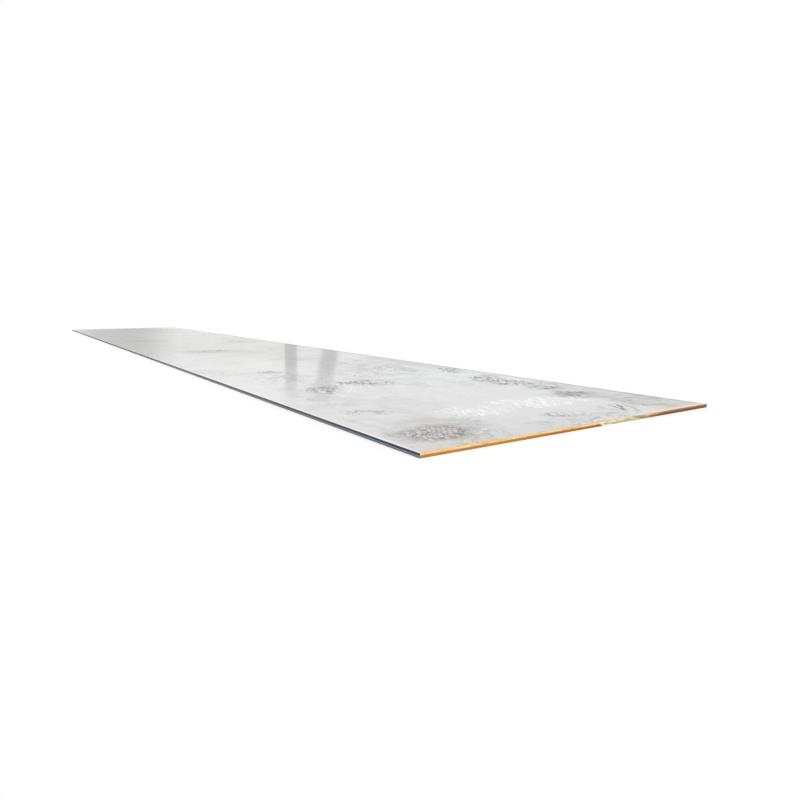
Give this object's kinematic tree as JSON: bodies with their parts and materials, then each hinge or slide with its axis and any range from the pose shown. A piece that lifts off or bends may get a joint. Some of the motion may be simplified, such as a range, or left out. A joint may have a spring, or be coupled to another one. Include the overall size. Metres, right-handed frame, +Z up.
{
  "type": "steel plate",
  "caption": "Hot-rolled steel plate with rounded as-rolled long edges and sheared ends, lying flat.",
  "frame": {"origin": "middle of the underside", "axes": "+X along the rolling direction, towards the end cut from above; +Y across the width; +Z up, through the thickness"},
  "size_m": [12, 2, 0.02],
  "materials": {
    "steel": "light grey mill scale on the faces, dark scale on the rolled edges, rust on the sheared ends"
  },
  "bodies": {
    "root": {"steel_plate": "steel"}
  },
  "joints": []
}
